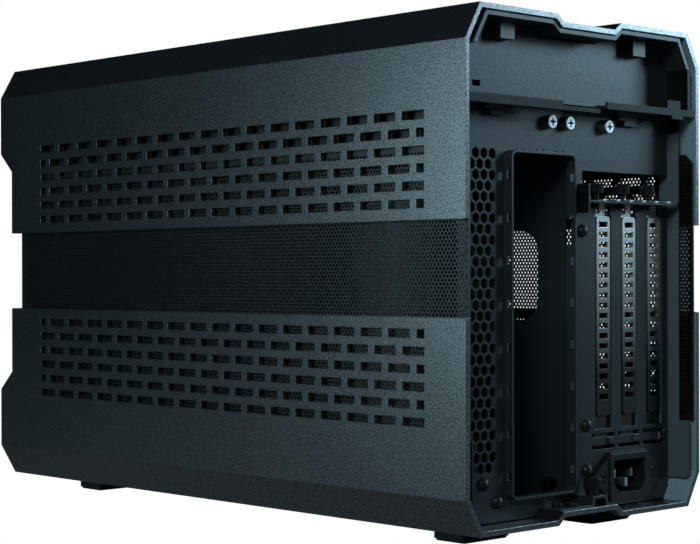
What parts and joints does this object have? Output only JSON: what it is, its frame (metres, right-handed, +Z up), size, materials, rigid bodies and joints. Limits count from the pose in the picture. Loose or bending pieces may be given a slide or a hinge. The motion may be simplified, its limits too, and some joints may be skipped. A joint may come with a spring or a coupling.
{
  "type": "mini-itx computer case",
  "caption": "Slim desktop case with a slotted top cover and bottom cover over mesh sides, a recessed rear panel and a central motherboard tray.",
  "frame": {"origin": "centre of the bounding box in plan, at the underside of the feet", "axes": "+Z up, +Y from the front towards the rear panel, +X towards the motherboard side"},
  "size_m": [0.1734, 0.371, 0.2439],
  "materials": {
    "cover_coat": "fine textured powder coat, matt",
    "frame_coat": "fine textured powder coat, matt",
    "mesh_coat": "matt powder coat on perforated sheet",
    "bracket_coat": "matt powder coat",
    "slot_coat": "satin grey coat",
    "liner_plastic": "moulded, lightly grained",
    "black_steel": "black oxide, satin",
    "bright_steel": "zinc plated",
    "black_plastic": "moulded, satin",
    "foot_rubber": "matt",
    "board_laminate": "solder mask, satin",
    "button_metal": "satin"
  },
  "bodies": {
    "chassis": {"base_frame": "frame_coat", "bottom_cover": "cover_coat", "rear_panel": "frame_coat", "side_frame_right": "frame_coat", "side_frame_left": "frame_coat", "mesh_panel_right": "mesh_coat", "mesh_panel_left": "mesh_coat", "front_fascia": "frame_coat", "upper_frame": "frame_coat", "fan_bracket": "frame_coat", "catch_right": "liner_plastic", "catch_left": "liner_plastic", "motherboard_tray": "frame_coat", "tray_standoffs": "black_steel", "psu_bracket": "frame_coat", "psu_bracket_rivets": "bright_steel", "slot_shelf": "black_steel", "slot_cover_1": "slot_coat", "slot_cover_2": "slot_coat", "slot_cover_3": "slot_coat", "slot_thumbscrew_1": "black_steel", "slot_thumbscrew_2": "black_steel", "slot_thumbscrew_3": "black_steel", "frame_screws": "bright_steel", "panel_plugs": "black_plastic", "inlet_housing": "black_plastic", "inlet_pins": "bright_steel", "inlet_screws": "black_steel", "latch_bridge": "bracket_coat", "captive_thumbscrew": "black_steel", "latch_plate": "bracket_coat", "latch_plate_screws": "black_steel", "foot_front_right": "foot_rubber", "foot_front_left": "foot_rubber", "foot_rear_right": "foot_rubber", "foot_rear_left": "foot_rubber", "foot_screws": "bright_steel", "riser_bracket": "frame_coat", "riser_board": "board_laminate", "riser_slot": "black_plastic", "front_io_board": "board_laminate", "usb_c_port": "bright_steel", "usb_a_port_1": "bright_steel", "usb_a_port_2": "bright_steel", "audio_port": "black_plastic", "power_switch": "black_plastic"},
    "top_cover_body": {"top_cover": "cover_coat", "top_liner": "liner_plastic", "cover_clip_right": "liner_plastic", "cover_clip_left": "liner_plastic"},
    "power_button_body": {"power_button": "button_metal"}
  },
  "joints": [
    {"name": "cover_lift", "type": "slide", "parent": "chassis", "child": "top_cover_body", "axis": [0, 0, 1], "range_m": [0, 0.1]},
    {"name": "power_press", "type": "slide", "parent": "chassis", "child": "power_button_body", "axis": [0, 1, 0], "range_m": [0, 0.0012], "stiffness_N_per_m": 400}
  ]
}
